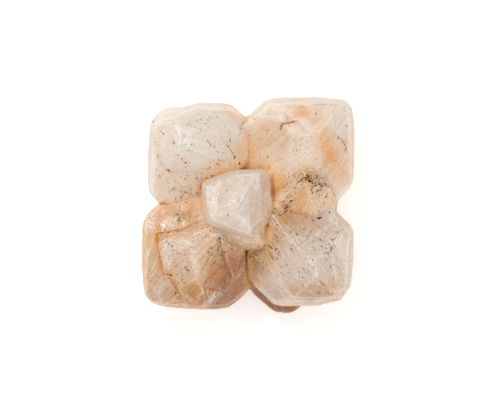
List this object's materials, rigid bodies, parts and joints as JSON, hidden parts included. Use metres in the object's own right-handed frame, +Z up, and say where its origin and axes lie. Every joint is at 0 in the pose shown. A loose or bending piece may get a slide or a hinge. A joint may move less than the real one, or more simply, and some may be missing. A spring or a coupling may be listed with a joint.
{
  "type": "chabazite crystal cluster",
  "caption": "Cluster of intergrown blocky chabazite crystals round one that stands on top, cut flat below so that it rests on a shelf.",
  "frame": {"origin": "centre of the flat on which the cluster rests, where it was broken off its rock", "axes": "+Z up out of the flat, towards the crystal on top; +Y towards the side that is uppermost when the cluster is seen from above"},
  "size_m": [0.0429, 0.0437, 0.0276],
  "materials": {
    "chabazite": "satin, cloudy cream with orange iron stain and dark specks"
  },
  "bodies": {
    "root": {"chabazite_cluster": "chabazite"}
  },
  "joints": []
}
